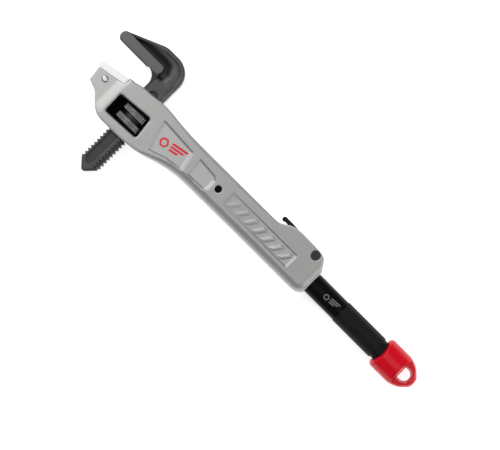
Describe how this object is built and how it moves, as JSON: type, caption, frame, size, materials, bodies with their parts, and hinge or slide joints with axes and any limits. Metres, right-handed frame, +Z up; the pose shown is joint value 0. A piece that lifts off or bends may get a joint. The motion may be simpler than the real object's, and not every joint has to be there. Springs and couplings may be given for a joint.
{
  "type": "pipe wrench",
  "caption": "Adaptable pipe wrench with an aluminium body, rocking hook jaw on a knurled nut, and a pull-out extension handle with a tether eye.",
  "frame": {"origin": "on the surface the wrench lies on, under the middle of its bounding box", "axes": "+X along the handle towards the end cap, +Y towards the hook, +Z up off the flat side"},
  "size_m": [0.4536, 0.147, 0.036],
  "materials": {
    "cast_aluminium": "satin",
    "plated_steel": "bright",
    "forged_steel": "satin black oxide",
    "blackened_steel": "satin black oxide",
    "black_gloss": "gloss",
    "black_satin": "satin",
    "black_nylon": "matte",
    "black_rubber": "matte",
    "red_plastic": "gloss",
    "spring_steel": "satin",
    "bronze": "machined"
  },
  "bodies": {
    "housing": {"housing": "cast_aluminium", "heel_jaw": "plated_steel", "heel_jaw_pin": "plated_steel", "window_liner": "black_nylon", "mouth_bush": "bronze", "wiper_ring": "black_rubber", "bore_bumper": "black_rubber", "lever_pivot_screw": "blackened_steel", "pivot_barrel_nut": "blackened_steel", "lever_spring": "spring_steel", "coil_spring": "spring_steel"},
    "spring_leaf": {"flat_spring": "spring_steel"},
    "hook": {"hook_jaw": "forged_steel"},
    "nut": {"adjusting_nut": "blackened_steel"},
    "lever": {"release_lever": "black_satin"},
    "shoe": {"lock_shoe": "bronze"},
    "extension": {"extension_tube": "black_gloss", "tube_plug": "black_nylon", "grip_sleeve": "black_satin", "tether_stud": "black_satin", "cap_snap_ring": "spring_steel", "end_cap": "red_plastic"}
  },
  "joints": [
    {"name": "jaw_rock", "type": "hinge", "parent": "housing", "child": "spring_leaf", "pos_m": [-0.158, -0.0019, 0.018], "axis": [0, 0, 1], "range_deg": [-2.5, 0], "stiffness_Nm_per_rad": 3, "springref_deg": 2.86, "deforming": ["coil_spring"]},
    {"name": "jaw_slide", "type": "slide", "parent": "spring_leaf", "child": "hook", "axis": [0, 1, 0], "range_m": [-0.019, 0.04]},
    {"name": "nut_spin", "type": "hinge", "parent": "spring_leaf", "child": "nut", "pos_m": [-0.158, -0.0019, 0.018], "axis": [0, 1, 0], "range_deg": [-3420, 1640]},
    {"name": "lever_swing", "type": "hinge", "parent": "housing", "child": "lever", "pos_m": [0.06655, 0.031, 0.018], "axis": [0, 0, -1], "range_deg": [0, 75], "stiffness_Nm_per_rad": 0.03, "springref_deg": -34.38, "deforming": ["lever_spring"]},
    {"name": "shoe_lift", "type": "slide", "parent": "housing", "child": "shoe", "axis": [0, 1, 0], "range_m": [0, 0.0008]},
    {"name": "handle_slide", "type": "slide", "parent": "housing", "child": "extension", "axis": [1, 0, 0], "range_m": [0, 0.142]}
  ],
  "couplings": [
    {"joint": "nut_spin", "follows": "jaw_slide", "rad_per_m": -1484.2},
    {"joint": "shoe_lift", "follows": "lever_swing", "m_per_rad": 0.00060352}
  ]
}
